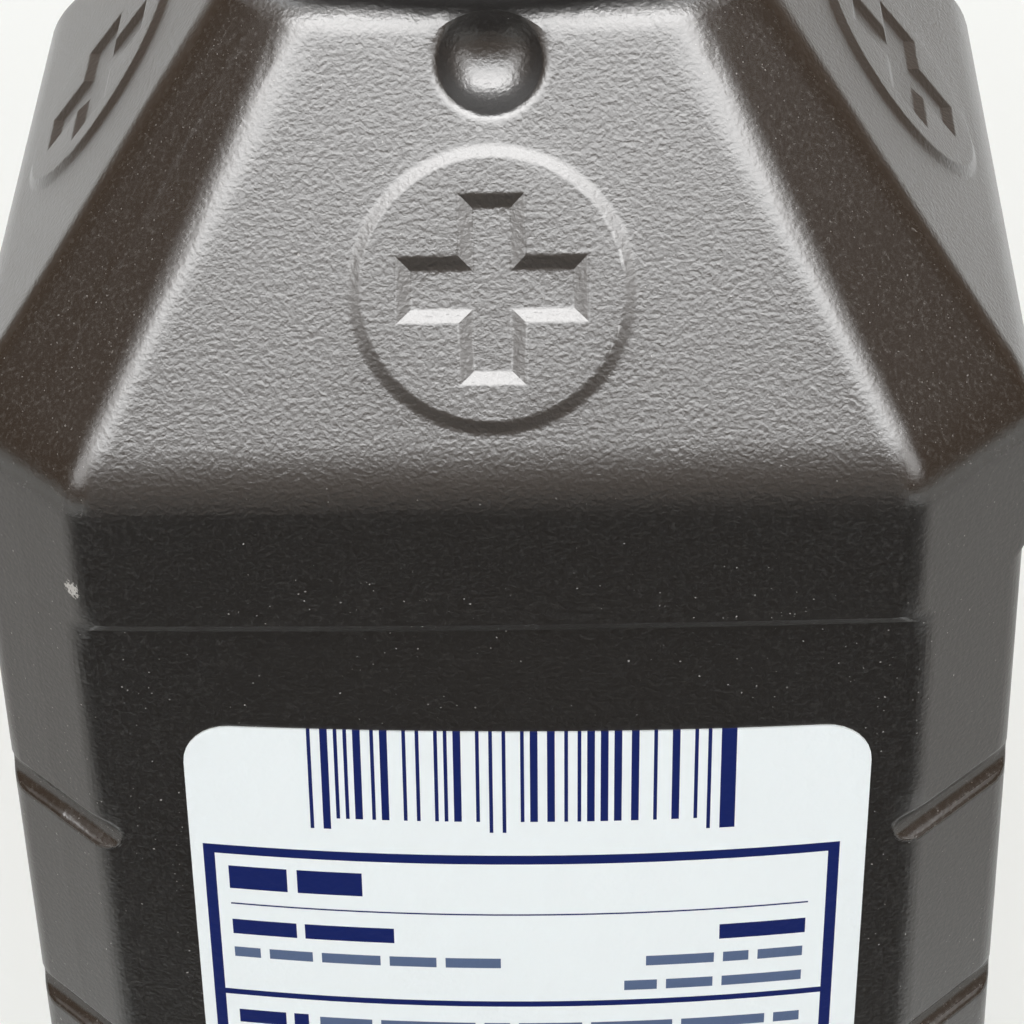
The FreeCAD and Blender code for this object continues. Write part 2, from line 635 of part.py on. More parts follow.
def solution():
    """Liquid that the bottle is sold with, up to its fill level."""
    form = inner_form("solution_form", "sizes.fill_gap")
    walls = dimple_balls("solution_walls", "sizes.wall + sizes.fill_gap")
    above = doc.addObject("Part::Cylinder", "headspace")
    above.setExpression("Radius", "2 * sizes.body_half")
    above.setExpression("Height", "sizes.body_rise")
    above.setExpression("Placement.Base.z", f"{LEDGE} - sizes.fill_drop")
    return cut("solution", cut("solution_walled", form, walls), above)


def disc(name, height, radius, thickness):
    """Flat round disc at a height."""
    body = make_body(name)
    outline = make_sketch(body, f"{name}_outline", "XY_Plane", {"z": height})
    draw_circle(outline, radius)
    extrude(body, "Pad", f"{name}_disc", outline, thickness)
    return body


def screw_cap():
    """Ribbed cap with an inner thread, screwed down on the liner."""
    body = make_body("screw_cap")
    outline = make_sketch(body, "cap_outline", "XY_Plane", {"z": SKIRT_LOW})
    draw_circle(outline, CAP_RADIUS)
    extrude(body, "Pad", "cap_form", outline, CAP_RISE)
    round_level(body, "cap_edge", f"{SKIRT_LOW} + {CAP_RISE}", "sizes.cap_round")
    hollow = make_sketch(body, "cap_hollow", "XY_Plane", {"z": SKIRT_LOW})
    draw_circle(hollow, CAP_BORE)
    extrude(body, "Pocket", "cap_inside", hollow, f"{CAP_RISE} - sizes.cap_roof", Reversed=True)
    flute_outline = make_sketch(body, "flute_outline", "XY_Plane", {"z": SKIRT_LOW})
    draw_circle(flute_outline, "sizes.rib_radius", f"{CAP_RADIUS} + sizes.rib_stand")
    length = f"{CAP_RISE} - sizes.rib_margin"
    flute = extrude(body, "Pocket", "flute", flute_outline, length, Reversed=True)
    ring_pattern(body, "flutes", [flute], "sizes.rib_count")
    low = f"{THREAD_LOW} - sizes.thread_mesh - sizes.thread_lag * sizes.thread_lead"
    start = "360 * sizes.thread_lag"
    foot = f"{CAP_BORE} + sizes.thread_sink"
    ridge = draw_ridge(body, "cap_ridge", low, foot, "sizes.neck_radius + sizes.thread_gap", start)
    wind(body, "cap_thread", ridge)
    return body


def label(name, shift, lean, side):
    """Paper label with rounded corners on the panel that faces a side, in degrees about Z."""
    body = make_body(name)
    place = {"x": shift, "y": f"({LABEL_TOP} + {LABEL_FOOT}) / 2", "z": PANEL_FACE}
    outline = make_sketch(body, f"{name}_outline", "XZ_Plane", place, (0, 0, -1), lean)
    along = f"({LABEL_TOP} - {LABEL_FOOT}) / 2"
    flats = [(0, LABEL_HALF), (90, along), (180, LABEL_HALF), (270, along)]
    draw_outline(outline, flats, "sizes.label_round")
    extrude(body, "Pad", f"{name}_sheet", outline, "sizes.label_thick")
    body.Placement = FreeCAD.Placement(FreeCAD.Vector(), FreeCAD.Rotation(FreeCAD.Vector(0, 0, 1), side))
    return body


def write_parts(pieces):
    """Check the document, then write one STEP file for each piece."""
    doc.recompute()
    for thing in doc.Objects:
        if "Invalid" in thing.State or "Error" in thing.State:
            raise SystemExit(f"{thing.Name} failed: {thing.State}")
        if thing.TypeId == "PartDesign::Pocket" and thing.Shape.Volume >= thing.BaseFeature.Shape.Volume:
            raise SystemExit(f"{thing.Name} cuts nothing")
    os.makedirs("parts", exist_ok=True)
    for piece in pieces:
        shape = piece.Shape
        if shape.isNull() or not shape.isValid() or len(shape.Solids) != 1:
            raise SystemExit(f"{piece.Label} is not one sound solid")
        shape.exportStep(f"parts/{piece.Label}.step")
        print(f"{piece.Label}: {shape.Volume / 1000:.2f} cm3")


write_parts([
    bottle(),
    solution(),
    disc("foil_seal", RIM, "sizes.neck_radius - sizes.seal_inset", "sizes.seal_thick"),
    disc("cap_liner", LINER_LOW, f"{CAP_BORE} - sizes.liner_gap", "sizes.liner_thick"),
    screw_cap(),
    label("facts_label", "sizes.label_shift", "sizes.label_lean", 0),
    label("main_label", "0", "0", 180),
])
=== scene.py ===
"""Dark square solution bottle in metres: crowned panels, printed labels, finishes, light and camera."""
import math
import random

import bmesh
import bpy
from mathutils import Matrix, Vector


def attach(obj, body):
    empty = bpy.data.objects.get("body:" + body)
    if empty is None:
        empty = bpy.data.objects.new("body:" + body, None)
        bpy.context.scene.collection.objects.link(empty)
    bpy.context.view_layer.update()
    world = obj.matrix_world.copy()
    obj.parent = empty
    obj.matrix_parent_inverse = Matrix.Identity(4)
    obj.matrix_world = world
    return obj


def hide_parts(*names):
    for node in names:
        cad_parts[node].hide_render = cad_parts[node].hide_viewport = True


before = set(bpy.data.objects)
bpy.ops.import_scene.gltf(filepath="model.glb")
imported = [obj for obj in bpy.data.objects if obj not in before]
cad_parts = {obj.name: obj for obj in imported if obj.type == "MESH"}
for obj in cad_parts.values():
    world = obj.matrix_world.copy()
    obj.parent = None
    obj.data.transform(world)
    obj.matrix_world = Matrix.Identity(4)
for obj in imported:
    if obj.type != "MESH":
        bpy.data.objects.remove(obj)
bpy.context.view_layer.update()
MM = 0.001

# Panels: a full bottle's panels bulge a little between their edges
PANEL_FACE = 30.4 * MM
PANEL_HALF = 22.5 * MM
PANEL_LOW = 10 * MM
PANEL_HIGH = 125 * MM
CROWN = 1.9 * MM
CROWN_START = -8 * MM
CROWN_END = 22 * MM
WALL_LOW = 2 * MM
WALL_HIGH = 134 * MM
# Cuts that let the walls bend: axis, two ends and gap, in millimetres
WALL_GRID = ((2, 3, 133, 5), (0, -24, 24, 4), (1, -24, 24, 4))

# Mould seam: a fine ridge down two opposite corners
SEAM_ACROSS = Vector((1, -1, 0)).normalized()
SEAM_OUT = Vector((1, 1, 0)).normalized()
SEAM_WIDTH = 0.22 * MM
SEAM_RISE = 0.03 * MM
SEAM_REACH = 17 * MM
SEAM_TOP = 154 * MM
SEAM_FACING = 0.3

# Corner facets and the dimple in the top of each shoulder face are smooth where the faces are grained
FACET_START = 9 * MM
FACET_FADE = 1 * MM
DIMPLE_PLACE = (17.6 * MM, 0, 154.7 * MM)
DIMPLE_REACH = 3.9 * MM
DIMPLE_FADE = 0.4 * MM

# Cross in each shoulder face: edges there are crisp from a smaller turn of the surface than elsewhere
CROSS_MIDDLE = 143.8 * MM
CROSS_RISE = 4.5 * MM
CROSS_REACH = 5.8 * MM
CROSS_CRISP = math.radians(12)
CRISP = math.radians(26)

# Labels
LABEL_WIDTH = 40.2 * MM
LABEL_HEIGHT = 101 * MM
LABEL_CORNER = 2.8 * MM
LABEL_THICK = 0.1 * MM
LABEL_MIDDLE = 67.5 * MM
LABEL_SHIFT = 0.7 * MM
LABEL_LEAN = math.radians(0.8)
LABEL_GRID = 2 * MM
# Materials of the print, after the paper, which comes first
INK_SLOT, TINT_SLOT = 1, 2

# Facts label, in millimetres from its top left corner: bars, ruled frame, head rows and sections of rows
BAR_SPAN = (7.3, 31.5)
BAR_WIDTHS = (0.22, 0.22, 0.22, 0.45, 0.45, 0.9)
BAR_GAPS = (0.34, 0.55, 0.55, 0.85)
BAR_FOOT = 6.4
GUARD_FOOT = 7.2
FRAME_LEFT, FRAME_RIGHT = (0.75, 1.43), (37.95, 38.63)
FRAME_TOP, FRAME_FOOT = (8.9, 9.58), (97.6, 98.28)
TEXT_LEFT, TEXT_RIGHT = 2.2, 36.7
HEAD_ROWS = (
    (10.5, 12.3, ((TEXT_LEFT, 5.7), (6.3, 10.2))),
    (13.45, 13.57, ((TEXT_LEFT, 36.9),)),
    (14.8, 16.0, ((TEXT_LEFT, 6.1), (6.6, 12.0), (31.6, 36.8))),
)
PAIR_ROW, PAIR_LEFT_END, PAIR_RIGHT_START = (17.1, 17.9), 19.4, 27.2
SINGLE_ROW, SINGLE_START = (19.1, 19.9), 25.9
SECTION_TOP = 22.4
SECTION_LINES = (4, 3, 6, 3, 5, 4, 6)
SECTION_GAP = 1.6
RULE_ABOVE_SECTION = (1.7, 1.25)
HEADING_HEIGHT = 1.1
HEADING_RUNS = ((TEXT_LEFT, 5.1), (5.6, 6.5))
FIRST_LINE_LEFT = 7.2
LAST_LINE_ENDS = (14, 30)
LINE_PITCH = 2.05
LINE_BAND = (0.15, 0.95)

# Main label, likewise: dark bands, tinted blocks and rows
FULL_WIDTH = (0.0, 40.2)
HEAD_BAND, HEAD_RULE, FOOT_BAND = (0.0, 24.0), (25.0, 26.0), (96.0, 101.0)
TITLE_HEIGHT = 4.5
TITLE_ROWS = ((33, 6, 34), (40, 9, 31))
TITLE_WORD = 14.0
BODY_TOP, BODY_PITCH, BODY_HEIGHT = 50, 2.6, 1
BODY_LINES, BODY_SPAN = 4, (7, 33)
TINT_BLOCK, TINT_SPAN = (66.0, 84.0), (5.0, 35.2)
SMALL_ROW, SMALL_SPAN, SMALL_WORD = (92.0, 93.2), (12, 28), 8.0

# Runs in place of words, in millimetres, and the seeds of their draws
SHORTEST_RUN = 1.2
LONGEST_RUN = 6.0
RUN_GAP = 0.55
LEAST_ROOM = 0.8
FACTS_SEED, MAIN_SEED = 7, 11

# Colours
SHELL_BROWN = (0.0068, 0.0054, 0.0046)
CAP_WHITE = (0.80, 0.80, 0.79)
DUST_GREY = (0.42, 0.41, 0.39)
PAPER_WHITE = (0.77, 0.82, 0.84)
INK_BLUE = (0.0005, 0.0095, 0.11)
TINT_BLUE = (0.085, 0.125, 0.23)
FOIL_SILVER = (0.78, 0.78, 0.80)
BOARD_BUFF = (0.72, 0.66, 0.55)
FIBRE_BROWN = (0.55, 0.48, 0.37)
WATER_CLEAR = (0.93, 0.96, 0.97)
FLOOR_PALE = (0.865, 0.895, 0.885)
# Painted shadow: black of a sheet on the floor in front, seen only in reflections
PAINTED_SHADOW_BLACK = (0.002, 0.002, 0.002)
# Painted shade: grey of sheets on the floor beside the bottle, seen only in reflections
PAINTED_SHADE_GREY = (0.62, 0.62, 0.6)

# Masks of the shell's finish: how fast they change as the surface turns, what upright corners lose of the
# corner facets' smoothness, and how smooth the dimples are
UPRIGHT_FALL = 6.0
CORNER_GAIN = 6.0
CORNER_FLOOR = 0.5
UPRIGHT_CORNER_LOSS = 0.5
DIMPLE_SMOOTH = 0.3

# Skin of the shell on grained faces and on smooth ones
GRAINED_ROUGHNESS = 0.38
SMOOTH_ROUGHNESS = 0.25
GRAIN_PER_METRE = 3200.0
GRAIN_SQUEEZE = 1.2
GRAIN_DEPTH = 0.045 * MM
SMOOTH_GRAIN = 0.25

# Dust on the shell: where it lies, and the share of the wall that specks and the film between them hide
DUST_EVERYWHERE = 0.12
UPRIGHT_DUST = 0.22
UPRIGHT_FILM = 0.6
SPECK_COVER = 0.35
UPRIGHT_COVER = 0.5
FILM_COVER = 0.2
FILM_PER_METRE = 3800.0
DUST_ROUGHNESS = 0.3
SPECK_WOBBLE = 0.4 * MM
WOBBLE_PER_METRE = 1500.0
DRIFTS_PER_METRE = 90.0
DRIFT_PACKING = 3.0
LINT_AXIS = (0.2, 1.0, 0.3)
# Specks and lint: number per metre, size, spread, drawing out and turn
SHELL_SPECKS = (
    (3000.0, 0.15, 5.0, 1.0, 0.0),
    (1300.0, 0.09, 2.5, 1.0, 0.7),
    (900.0, 0.07, 1.2, 0.12, 0.5),
    (900.0, 0.07, 1.2, 0.12, 2.1),
)
SCUFF = {"X": -24.2 * MM, "Y": -30.4 * MM, "Z": 128.0 * MM, "Reach": 1.5 * MM, "Break_up": 0.34}
GRIT_PER_METRE = 5200.0

# Margins of the mesh work
WELD = 0.002 * MM
CUT_MARGIN = 1e-7
LINE_MARGIN = 1e-6

# Camera: place and axes
CAMERA_PLACE = (5.643 * MM, -185.238 * MM, 248.327 * MM)
CAMERA_RIGHT = (0.99963, 0.01260, -0.02414)
CAMERA_UP = (0.01184, 0.59717, 0.80203)
CAMERA_BACK = (0.02452, -0.80202, 0.59680)
LENS = 122.43
SENSOR = 36

# Light
DAYLIGHT = (0.88, 0.95, 1.0)
ROOM_LIGHT = (1.0, 0.66, 0.42)
ROOM_STRENGTH = 0.27


def ease(share):
    """Smooth step from 0 to 1."""
    share = min(max(share, 0.0), 1.0)
    return share * share * (3 - 2 * share)


def crown(across, height):
    """How far a panel bulges, at a distance from its middle line and at a height."""
    inside = min(height - PANEL_LOW, PANEL_HIGH - height)
    rise = ease((inside - CROWN_START) / (CROWN_END - CROWN_START))
    bow = max(1 - (across / PANEL_HALF) ** 2, 0.0)
    return CROWN * rise * bow


# Node helpers; the numbers are the colour sockets of a mix node
MIX_BELOW, MIX_ABOVE, MIX_RESULT = 6, 7, 2


def add(tree, kind, **settings):
    """Shader node of a kind, with its settings."""
    node = tree.nodes.new(f"ShaderNode{kind}")
    for name, setting in settings.items():
        setattr(node, name, setting)
    return node


def fill(node, **values):
    """Values on a node's inputs, with _ for a space in an input's name."""
    for name, setting in values.items():
        node.inputs[name.replace("_", " ")].default_value = setting
    return node


def join(tree, source, target, entry):
    """Link from a pair of node and output to a node's input."""
    node, output = source
    tree.links.new(node.outputs[output], target.inputs[entry])


def work(tree, operation, *terms, clamp=False):
    """Math node on numbers or pairs of node and output."""
    node = add(tree, "Math", operation=operation, use_clamp=clamp)
    for index, term in enumerate(terms):
        if isinstance(term, tuple):
            join(tree, term, node, index)
        else:
            node.inputs[index].default_value = term
    return node, "Value"


def new_group(name, inputs, output):
    """Shader node group that takes a vector and named floats and puts out one float."""
    group = bpy.data.node_groups.new(name, "ShaderNodeTree")
    group.interface.new_socket("Vector", in_out="INPUT", socket_type="NodeSocketVector")
    for label in inputs:
        group.interface.new_socket(label, in_out="INPUT", socket_type="NodeSocketFloat")
    group.interface.new_socket(output, in_out="OUTPUT", socket_type="NodeSocketFloat")
    return group, group.nodes.new("NodeGroupInput"), group.nodes.new("NodeGroupOutput")


def place_group(tree, group, coords, **values):
    """A group in a material, fed with object coordinates and its own values or links."""
    node = tree.nodes.new("ShaderNodeGroup")
    node.node_tree = group
    join(tree, (coords, "Object"), node, "Vector")
    for name, setting in values.items():
        if isinstance(setting, tuple):
            join(tree, setting, node, name.replace("_", " "))
        else:
            fill(node, **{name: setting})
    return node


def make_peel_group():
    """Fine ripples of a moulded skin, longer across than up."""
    group, start, end = new_group("moulded_peel", ["Ripples per metre", "Upright squeeze"], "Height")
    stretch = fill(add(group, "CombineXYZ"), X=1.0, Y=1.0)
    join(group, (start, "Upright squeeze"), stretch, "Z")
    squeezed = add(group, "VectorMath", operation="MULTIPLY")
    join(group, (start, "Vector"), squeezed, 0)
    join(group, (stretch, "Vector"), squeezed, 1)
    noise = fill(add(group, "TexNoise"), Detail=2.0, Roughness=0.5, Distortion=0.2)
    join(group, (squeezed, "Vector"), noise, "Vector")
    join(group, (start, "Ripples per metre"), noise, "Scale")
    join(group, (noise, "Fac"), end, "Height")
    return group


def make_specks_group():
    """Specks of dust in drifts, round or drawn out along one axis into lint."""
    group, start, end = new_group("dust_specks", ["Per metre", "Size", "Spread", "Draw out", "Turn"], "Mask")
    wobble = fill(add(group, "TexNoise"), Scale=WOBBLE_PER_METRE, Detail=1.0)
    join(group, (start, "Vector"), wobble, "Vector")
    shaken = add(group, "VectorMath", operation="MULTIPLY_ADD")
    join(group, (wobble, "Color"), shaken, 0)
    shaken.inputs[1].default_value = (SPECK_WOBBLE, SPECK_WOBBLE, SPECK_WOBBLE)
    join(group, (start, "Vector"), shaken, 2)
    turned = add(group, "VectorRotate", rotation_type="AXIS_ANGLE")
    turned.inputs["Axis"].default_value = LINT_AXIS
    join(group, (shaken, "Vector"), turned, "Vector")
    join(group, (start, "Turn"), turned, "Angle")
    drawn = fill(add(group, "CombineXYZ"), Y=1.0, Z=1.0)
    join(group, (start, "Draw out"), drawn, "X")
    long = add(group, "VectorMath", operation="MULTIPLY")
    join(group, (turned, "Vector"), long, 0)
    join(group, (drawn, "Vector"), long, 1)
    cells = fill(add(group, "TexVoronoi", feature="F1"), Randomness=1.0)
    join(group, (long, "Vector"), cells, "Vector")
    join(group, (start, "Per metre"), cells, "Scale")
    chance = add(group, "SeparateColor")
    join(group, (cells, "Color"), chance, "Color")
    size = work(group, "MULTIPLY", (chance, "Red"), (start, "Size"))
    near = work(group, "LESS_THAN", (cells, "Distance"), size)
    drifts = fill(add(group, "TexNoise"), Scale=DRIFTS_PER_METRE, Detail=3.0, Roughness=0.6)
    join(group, (start, "Vector"), drifts, "Vector")
    packed = work(group, "POWER", (drifts, "Fac"), DRIFT_PACKING)
    share = work(group, "MULTIPLY", packed, (start, "Spread"))
    chosen = work(group, "LESS_THAN", (chance, "Green"), share)
    join(group, work(group, "MULTIPLY", near, chosen), end, "Mask")
    return group


def make_patch_group():
    """Broken patch of wear round a point."""
    group, start, end = new_group("worn_patch", ["X", "Y", "Z", "Reach", "Break up"], "Mask")
    point = add(group, "CombineXYZ")
    for letter in "XYZ":
        join(group, (start, letter), point, letter)
    gap = add(group, "VectorMath", operation="DISTANCE")
    join(group, (start, "Vector"), gap, 0)
    join(group, (point, "Vector"), gap, 1)
    near = work(group, "SUBTRACT", 1.0, work(group, "DIVIDE", (gap, "Value"), (start, "Reach")), clamp=True)
    grit = fill(add(group, "TexNoise"), Scale=GRIT_PER_METRE, Detail=3.0, Roughness=0.7)
    join(group, (start, "Vector"), grit, "Vector")
    level = work(group, "MULTIPLY", near, (grit, "Fac"))
    join(group, work(group, "GREATER_THAN", level, (start, "Break up")), end, "Mask")
    return group


PEEL = make_peel_group()
SPECKS = make_specks_group()
PATCH = make_patch_group()


def new_finish(name, colour, **values):
    """Material with one Principled shader, and its tree, shader and coordinates."""
    material = bpy.data.materials.new(name)
    material.use_nodes = True
    tree = material.node_tree
    tree.nodes.clear()
    shader = fill(add(tree, "BsdfPrincipled"), Base_Color=(*colour, 1.0), **values)
    join(tree, (shader, "BSDF"), add(tree, "OutputMaterial"), "Surface")
    return material, tree, shader, add(tree, "TexCoord")


def mix_colour(tree, mask, below, above):
    """Colour that goes from one to another by a mask."""
    node = add(tree, "Mix", data_type="RGBA")
    node.inputs[MIX_BELOW].default_value = (*below, 1.0)
    node.inputs[MIX_ABOVE].default_value = (*above, 1.0)
    join(tree, mask, node, "Factor")
    return node, MIX_RESULT


def add_bump(tree, shader, height, distance):
    """Bump on a shader from a height, which reaches a distance."""
    node = fill(add(tree, "Bump"), Strength=1.0, Distance=distance)
    join(tree, height, node, "Height")
    join(tree, (node, "Normal"), shader, "Normal")


def upright_mask(tree, facing):
    """1 on upright walls and 0 on the shoulder."""
    return work(tree, "MULTIPLY_ADD", (facing, "Z"), -UPRIGHT_FALL, 1.0, clamp=True)


def corner_mask(tree, facing, upright, folded):
    """1 on the shoulder's corner facets, half that on the upright corners and 0 on the four sides."""
    both = work(tree, "ABSOLUTE", work(tree, "MULTIPLY", (facing, "X"), (facing, "Y")))
    corner = work(tree, "MULTIPLY_ADD", both, CORNER_GAIN, -CORNER_FLOOR, clamp=True)
    lesser = add(tree, "SeparateXYZ")
    join(tree, folded, lesser, "Vector")
    beyond = work(tree, "DIVIDE", work(tree, "SUBTRACT", (lesser, "Y"), FACET_START), FACET_FADE, clamp=True)
    level = work(tree, "MULTIPLY_ADD", upright, -UPRIGHT_CORNER_LOSS, 1.0)
    return work(tree, "MULTIPLY", corner, work(tree, "MULTIPLY", beyond, level))


def fold_sides(tree, coords):
    """Object coordinates with the four sides of the bottle folded into one, which faces along X."""
    place = add(tree, "SeparateXYZ")
    join(tree, (coords, "Object"), place, "Vector")
    sides = [work(tree, "ABSOLUTE", (place, letter)) for letter in "XY"]
    folded = add(tree, "CombineXYZ")
    join(tree, work(tree, "MAXIMUM", *sides), folded, "X")
    join(tree, work(tree, "MINIMUM", *sides), folded, "Y")
    join(tree, (place, "Z"), folded, "Z")
    return folded, "Vector"


def dimple_mask(tree, folded):
    """1 in the dimples of the four shoulder faces, fading out at their lips."""
    gap = add(tree, "VectorMath", operation="DISTANCE")
    join(tree, folded, gap, 0)
    gap.inputs[1].default_value = DIMPLE_PLACE
    inside = work(tree, "SUBTRACT", DIMPLE_REACH, (gap, "Value"))
    return work(tree, "DIVIDE", inside, DIMPLE_FADE, clamp=True)


def film_mask(tree, coords, filmed):
    """Thin uneven film of the finest dust, by how much of it each place has."""
    cloud = fill(add(tree, "TexNoise"), Scale=FILM_PER_METRE, Detail=2.0, Roughness=0.6)
    join(tree, (coords, "Object"), cloud, "Vector")
    above_middle = work(tree, "MULTIPLY_ADD", (cloud, "Fac"), 2.0, -1.0, clamp=True)
    return work(tree, "MULTIPLY", work(tree, "MULTIPLY", above_middle, FILM_COVER), filmed)


def shell_finish():
    """Dark brown blown polyethylene: grained faces, smooth corners and dimples, dust and a worn edge."""
    values = {"IOR": 1.6, "Specular_IOR_Level": 1.0}
    material, tree, shader, coords = new_finish("shell_plastic", SHELL_BROWN, **values)
    facing = add(tree, "SeparateXYZ")
    join(tree, (coords, "Normal"), facing, "Vector")
    upright = upright_mask(tree, facing)
    folded = fold_sides(tree, coords)
    corners = corner_mask(tree, facing, upright, folded)
    dimples = work(tree, "MULTIPLY", dimple_mask(tree, folded), DIMPLE_SMOOTH)
    smooth = work(tree, "MAXIMUM", corners, dimples)
    plain_dust = work(tree, "MULTIPLY_ADD", upright, UPRIGHT_DUST, DUST_EVERYWHERE)
    dusty = work(tree, "MAXIMUM", smooth, plain_dust)
    cover = work(tree, "MULTIPLY_ADD", upright, UPRIGHT_COVER, SPECK_COVER)
    filmed = work(tree, "MAXIMUM", dusty, work(tree, "MULTIPLY", upright, UPRIGHT_FILM))
    mask = film_mask(tree, coords, filmed)
    for per_metre, size, spread, draw_out, turn in SHELL_SPECKS:
        share = work(tree, "MULTIPLY", dusty, spread)
        values = {"Per_metre": per_metre, "Size": size, "Spread": share, "Draw_out": draw_out, "Turn": turn}
        specks = (place_group(tree, SPECKS, coords, **values), "Mask")
        mask = work(tree, "MAXIMUM", mask, work(tree, "MULTIPLY", specks, cover))
    mask = work(tree, "MAXIMUM", mask, (place_group(tree, PATCH, coords, **SCUFF), "Mask"))
    join(tree, mix_colour(tree, mask, SHELL_BROWN, DUST_GREY), shader, "Base Color")
    satin = work(tree, "MULTIPLY_ADD", smooth, SMOOTH_ROUGHNESS - GRAINED_ROUGHNESS, GRAINED_ROUGHNESS)
    join(tree, work(tree, "MULTIPLY_ADD", mask, DUST_ROUGHNESS, satin), shader, "Roughness")
    ripples = {"Ripples_per_metre": GRAIN_PER_METRE, "Upright_squeeze": GRAIN_SQUEEZE}
    peel = place_group(tree, PEEL, coords, **ripples)
    grain = work(tree, "MULTIPLY_ADD", smooth, SMOOTH_GRAIN - 1.0, 1.0)
    add_bump(tree, shader, work(tree, "MULTIPLY", (peel, "Height"), grain), distance=GRAIN_DEPTH)
    return material


def print_finish(name, colour, roughness):
    """Coated paper or ink on it, with a faint tooth."""
    material, tree, shader, coords = new_finish(name, colour, Roughness=roughness, Specular_IOR_Level=0.3)
    tooth = place_group(tree, PEEL, coords, Ripples_per_metre=1500.0, Upright_squeeze=1.0)
    add_bump(tree, shader, (tooth, "Height"), distance=0.05 * MM)
    return material


SHELL = shell_finish()
PRINT = [
    print_finish("label_paper", PAPER_WHITE, roughness=0.5),
    print_finish("label_ink", INK_BLUE, roughness=0.42),
    print_finish("label_tint", TINT_BLUE, roughness=0.45),
]


# Meshes

def along(axis):
    """Unit vector of an axis by its number."""
    vector = Vector((0, 0, 0))
    vector[axis] = 1
    return vector


def steps(low, high, gap):
    """Even places between two ends, about a gap apart."""
    count = round((high - low) / gap)
    return [low + (high - low) * index / count for index in range(1, count)]


def slice_faces(shape, faces, point, normal):
    """Cut of some faces by a plane."""
    geometry = set(faces)
    for face in faces:
        geometry.update(face.edges)
        geometry.update(face.verts)
    bmesh.ops.bisect_plane(shape, geom=list(geometry), dist=CUT_MARGIN, plane_co=point, plane_no=normal)


def mark_edges(shape):
    """Smooth faces with crisp edges where the surface turns."""
    for face in shape.faces:
        face.smooth = True
    for edge in shape.edges:
        middle = (edge.verts[0].co + edge.verts[1].co) / 2
        across = min(abs(middle.x), abs(middle.y))
        in_cross = across < CROSS_REACH and abs(middle.z - CROSS_MIDDLE) < CROSS_RISE
        edge.smooth = edge.calc_face_angle(0.0) < (CROSS_CRISP if in_cross else CRISP)


def make_piece(name, shape, body, materials, node):
    """Object from a mesh, which rides on a body and stands for a CAD node."""
    mark_edges(shape)
    mesh = bpy.data.meshes.new(name)
    shape.to_mesh(mesh)
    shape.free()
    for material in materials:
        mesh.materials.append(material)
    piece = bpy.data.objects.new(name, mesh)
    bpy.context.scene.collection.objects.link(piece)
    even = piece.modifiers.new("even_normals", "WEIGHTED_NORMAL")
    even.keep_sharp = True
    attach(piece, body)
    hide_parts(node)


def raise_seam(shape):
    """Ridge that the two halves of the mould leave down opposite corners."""
    for side in (1, -1):
        outward = SEAM_OUT * side

        def on_corner(face):
            middle = face.calc_center_median()
            inside = WALL_LOW < middle.z < SEAM_TOP and middle.dot(outward) > SEAM_REACH
            return inside and face.normal.dot(outward) > SEAM_FACING

        shape.normal_update()
        for offset in (-SEAM_WIDTH, 0, SEAM_WIDTH):
            faces = [face for face in shape.faces if on_corner(face)]
            slice_faces(shape, faces, SEAM_ACROSS * offset, SEAM_ACROSS)
        shape.normal_update()
        ridge = set()
        for face in shape.faces:
            if on_corner(face):
                ridge.update(vert for vert in face.verts if abs(vert.co.dot(SEAM_ACROSS)) < LINE_MARGIN)
        for vert in ridge:
            vert.co += vert.normal * SEAM_RISE


def swell_panels(shape):
    """Bulge of the four panels, inner wall and outer wall alike."""
    for axis, low, high, gap in WALL_GRID:
        for place in steps(low * MM, high * MM, gap * MM):
            wall = [f for f in shape.faces if all(WALL_LOW < v.co.z < WALL_HIGH for v in f.verts)]
            slice_faces(shape, wall, along(axis) * place, along(axis))
    for vert in shape.verts:
        side = 1 if abs(vert.co.y) > abs(vert.co.x) else 0
        across = vert.co[1 - side]
        if abs(across) < PANEL_HALF < abs(vert.co[side]):
            vert.co[side] += math.copysign(crown(across, vert.co.z), vert.co[side])


def bottle_shell():
    """Shell from the CAD mesh, with its mould seam and its crowned panels."""
    shape = bmesh.new()
    shape.from_mesh(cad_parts["bottle"].data)
    bmesh.ops.remove_doubles(shape, verts=shape.verts, dist=WELD)
    raise_seam(shape)
    swell_panels(shape)
    bmesh.ops.triangulate(shape, faces=shape.faces)
    make_piece("bottle_shell", shape, "bottle", [SHELL], "bottle")


def new_sheet():
    """Flat label with rounded corners about the origin."""
    shape = bmesh.new()
    bmesh.ops.create_grid(shape, x_segments=1, y_segments=1, size=0.5)
    bmesh.ops.scale(shape, verts=shape.verts, vec=(LABEL_WIDTH, LABEL_HEIGHT, 1))
    bmesh.ops.bevel(
        shape, geom=shape.verts[:], offset=LABEL_CORNER, offset_type="OFFSET", segments=8,
        profile=0.5, affect="VERTICES", material=-1,
    )
    for axis, size in ((0, LABEL_WIDTH), (1, LABEL_HEIGHT)):
        for place in steps(-size / 2, size / 2, LABEL_GRID):
            slice_faces(shape, shape.faces[:], along(axis) * place, along(axis))
    return shape


def print_row(shape, top, bottom, runs, slot=INK_SLOT):
    """Inked runs from left to right between two heights, in millimetres from the label's top left corner."""
    upper = LABEL_HEIGHT / 2 - top * MM
    lower = LABEL_HEIGHT / 2 - bottom * MM
    runs = [(left * MM - LABEL_WIDTH / 2, right * MM - LABEL_WIDTH / 2) for left, right in runs]
    for place in (upper, lower):
        slice_faces(shape, shape.faces[:], along(1) * place, along(1))
    row = [face for face in shape.faces if lower < face.calc_center_median().y < upper]
    for place in sorted({edge for run in runs for edge in run}):
        crossing = [f for f in row if min(v.co.x for v in f.verts) < place < max(v.co.x for v in f.verts)]
        slice_faces(shape, crossing, along(0) * place, along(0))
        row = [face for face in shape.faces if lower < face.calc_center_median().y < upper]
    for face in row:
        middle = face.calc_center_median().x
        if any(left < middle < right for left, right in runs):
            face.material_index = slot


